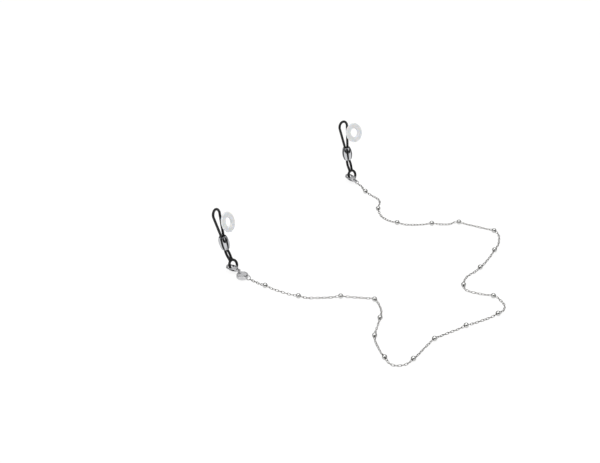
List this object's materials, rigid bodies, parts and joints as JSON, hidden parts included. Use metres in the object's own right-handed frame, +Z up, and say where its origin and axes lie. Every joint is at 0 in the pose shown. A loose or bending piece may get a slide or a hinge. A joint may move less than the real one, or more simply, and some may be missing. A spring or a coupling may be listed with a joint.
{
  "type": "eyeglass retainer strap",
  "caption": "Fine ball-and-link chain with a rubber loop, adjuster bead, lobster clasp and soft stopper ring at each end, hung from spectacle arms.",
  "frame": {"origin": "middle of the left loop's eye, where the left spectacle arm goes through", "axes": "+X to the wearer's right, from the left loop to the right one; +Y the way the wearer faces; +Z up. The chain lies on a plane 32.5 mm below the origin."},
  "size_m": [0.156, 0.1729, 0.0395],
  "materials": {
    "rubber": "satin black",
    "silicone": "clear, slightly milky",
    "bead_metal": "polished",
    "clasp_metal": "polished",
    "lever_metal": "polished",
    "rivet_metal": "satin",
    "spring_steel": "satin",
    "tag_metal": "polished",
    "link_metal": "polished",
    "chain_metal": "polished",
    "ball_metal": "polished"
  },
  "bodies": {
    "strap": {"left_rubber_strand": "rubber", "right_rubber_strand": "rubber", "left_end_ring": "rubber", "right_end_ring": "rubber", "chain": "chain_metal", "ball_beads": "ball_metal"},
    "left_bead": {"left_adjuster_bead": "bead_metal"},
    "right_bead": {"right_adjuster_bead": "bead_metal"},
    "left_stopper": {"left_stopper_ring": "silicone"},
    "right_stopper": {"right_stopper_ring": "silicone"},
    "left_clasp": {"left_clasp_body": "clasp_metal", "left_clasp_rivet": "rivet_metal", "left_clasp_spring": "spring_steel"},
    "right_clasp": {"right_clasp_body": "clasp_metal", "right_clasp_rivet": "rivet_metal", "right_clasp_spring": "spring_steel"},
    "left_lever": {"left_clasp_lever": "lever_metal"},
    "right_lever": {"right_clasp_lever": "lever_metal"},
    "clasp_ring": {"clasp_jump_ring": "link_metal"},
    "tag": {"tag": "tag_metal"},
    "tag_ring": {"tag_jump_ring": "link_metal"},
    "right_ring": {"right_jump_ring": "link_metal"}
  },
  "joints": [
    {"name": "left_bead_slide", "type": "slide", "parent": "strap", "child": "left_bead", "axis": [-0.0464, 0.2632, 0.9636], "range_m": [-0.004, 0.005], "deforming": ["left_rubber_strand"]},
    {"name": "right_bead_slide", "type": "slide", "parent": "strap", "child": "right_bead", "axis": [0.0217, 0.2068, 0.9781], "range_m": [-0.004, 0.005], "deforming": ["right_rubber_strand"]},
    {"name": "left_stopper_slide", "type": "slide", "parent": "strap", "child": "left_stopper", "axis": [0.1908, -0.9816, 0], "range_m": [-0.002, 0.025]},
    {"name": "right_stopper_slide", "type": "slide", "parent": "strap", "child": "right_stopper", "axis": [-0.1908, -0.9816, 0], "range_m": [-0.002, 0.025]},
    {"name": "left_clasp_roll", "type": "hinge", "parent": "strap", "child": "left_clasp", "pos_m": [-0.00099, -0.01027, -0.02942], "axis": [-0.1386, 0.9865, 0.0872], "range_deg": [-6, 6]},
    {"name": "left_lever_hinge", "type": "hinge", "parent": "left_clasp", "child": "left_lever", "pos_m": [-0.00046, -0.01274, -0.02964], "axis": [0.0121, -0.0863, 0.9962], "range_deg": [-15, 0], "stiffness_Nm_per_rad": 0.002, "springref_deg": 28.65, "deforming": ["left_clasp_spring"]},
    {"name": "right_clasp_roll", "type": "hinge", "parent": "strap", "child": "right_clasp", "pos_m": [0.12887, 0.00321, -0.02896], "axis": [0.1029, 0.9794, 0.1737], "range_deg": [-6, 6]},
    {"name": "right_lever_hinge", "type": "hinge", "parent": "right_clasp", "child": "right_lever", "pos_m": [0.12879, 0.00071, -0.0294], "axis": [-0.0181, -0.1727, 0.9848], "range_deg": [-15, 0], "stiffness_Nm_per_rad": 0.002, "springref_deg": 28.65, "deforming": ["right_clasp_spring"]},
    {"name": "clasp_ring_spin", "type": "hinge", "parent": "left_clasp", "child": "clasp_ring", "pos_m": [-0.0011, -0.01729, -0.0306], "axis": [0.766, -0.6428, 0], "continuous": true},
    {"name": "tag_roll", "type": "hinge", "parent": "strap", "child": "tag", "pos_m": [-0.00213, -0.02086, -0.0307], "axis": [0, 1, 0], "range_deg": [-8, 8]},
    {"name": "tag_ring_spin", "type": "hinge", "parent": "tag", "child": "tag_ring", "pos_m": [-0.00158, -0.02471, -0.0306], "axis": [0.9397, 0.342, 0], "continuous": true},
    {"name": "right_ring_spin", "type": "hinge", "parent": "right_clasp", "child": "right_ring", "pos_m": [0.12843, -0.00367, -0.0306], "axis": [0.9848, 0.1736, 0], "continuous": true}
  ]
}
